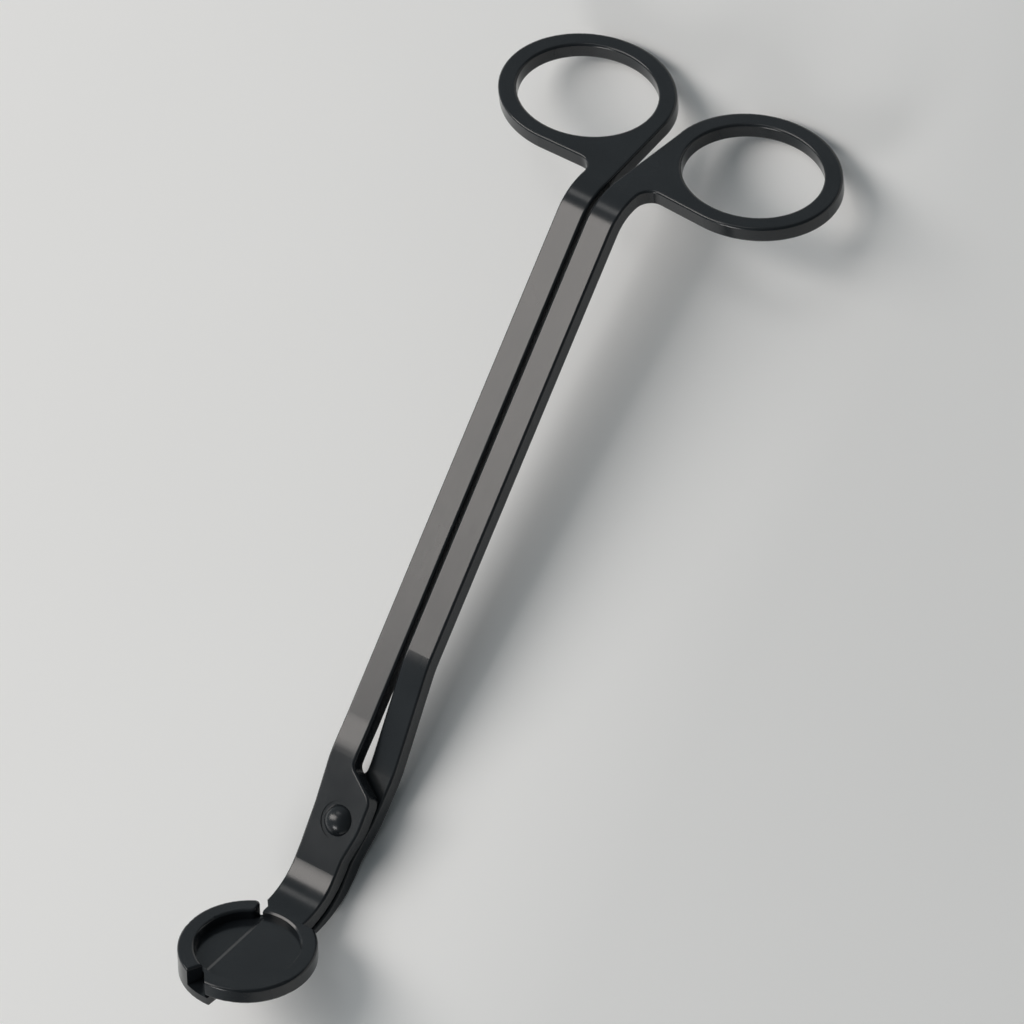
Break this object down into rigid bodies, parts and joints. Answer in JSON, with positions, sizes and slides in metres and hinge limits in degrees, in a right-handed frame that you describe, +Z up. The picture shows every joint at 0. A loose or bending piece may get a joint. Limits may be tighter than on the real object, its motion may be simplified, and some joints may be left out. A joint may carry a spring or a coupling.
{
  "type": "wick trimmer",
  "caption": "Long angled scissors for trimming candle wicks: crossed steel arms on a rivet, with finger rings and a small split dish that cuts the wick and catches it.",
  "frame": {"origin": "on the table under the middle of the bounding box, with the tool lying on its heel bend and both finger rings", "axes": "+Z up; +Y along the tool from the dish to the finger rings; +X across it, to the right as seen from above with the dish nearest"},
  "size_m": [0.0692, 0.1786, 0.0237],
  "materials": {
    "upper_arm": "satin black coating on steel",
    "lower_arm": "satin black coating on steel",
    "pivot_rivet": "glossier black coating on steel",
    "pivot_washer": "plain rolled steel"
  },
  "bodies": {
    "upper": {"upper_arm": "upper_arm", "pivot_rivet": "pivot_rivet", "pivot_washer": "pivot_washer"},
    "lower": {"lower_arm": "lower_arm"}
  },
  "joints": [
    {"name": "pivot", "type": "hinge", "parent": "upper", "child": "lower", "pos_m": [0.00045, -0.05114, 0.00477], "axis": [0, 0.1764, -0.9843], "range_deg": [0, 35]}
  ]
}
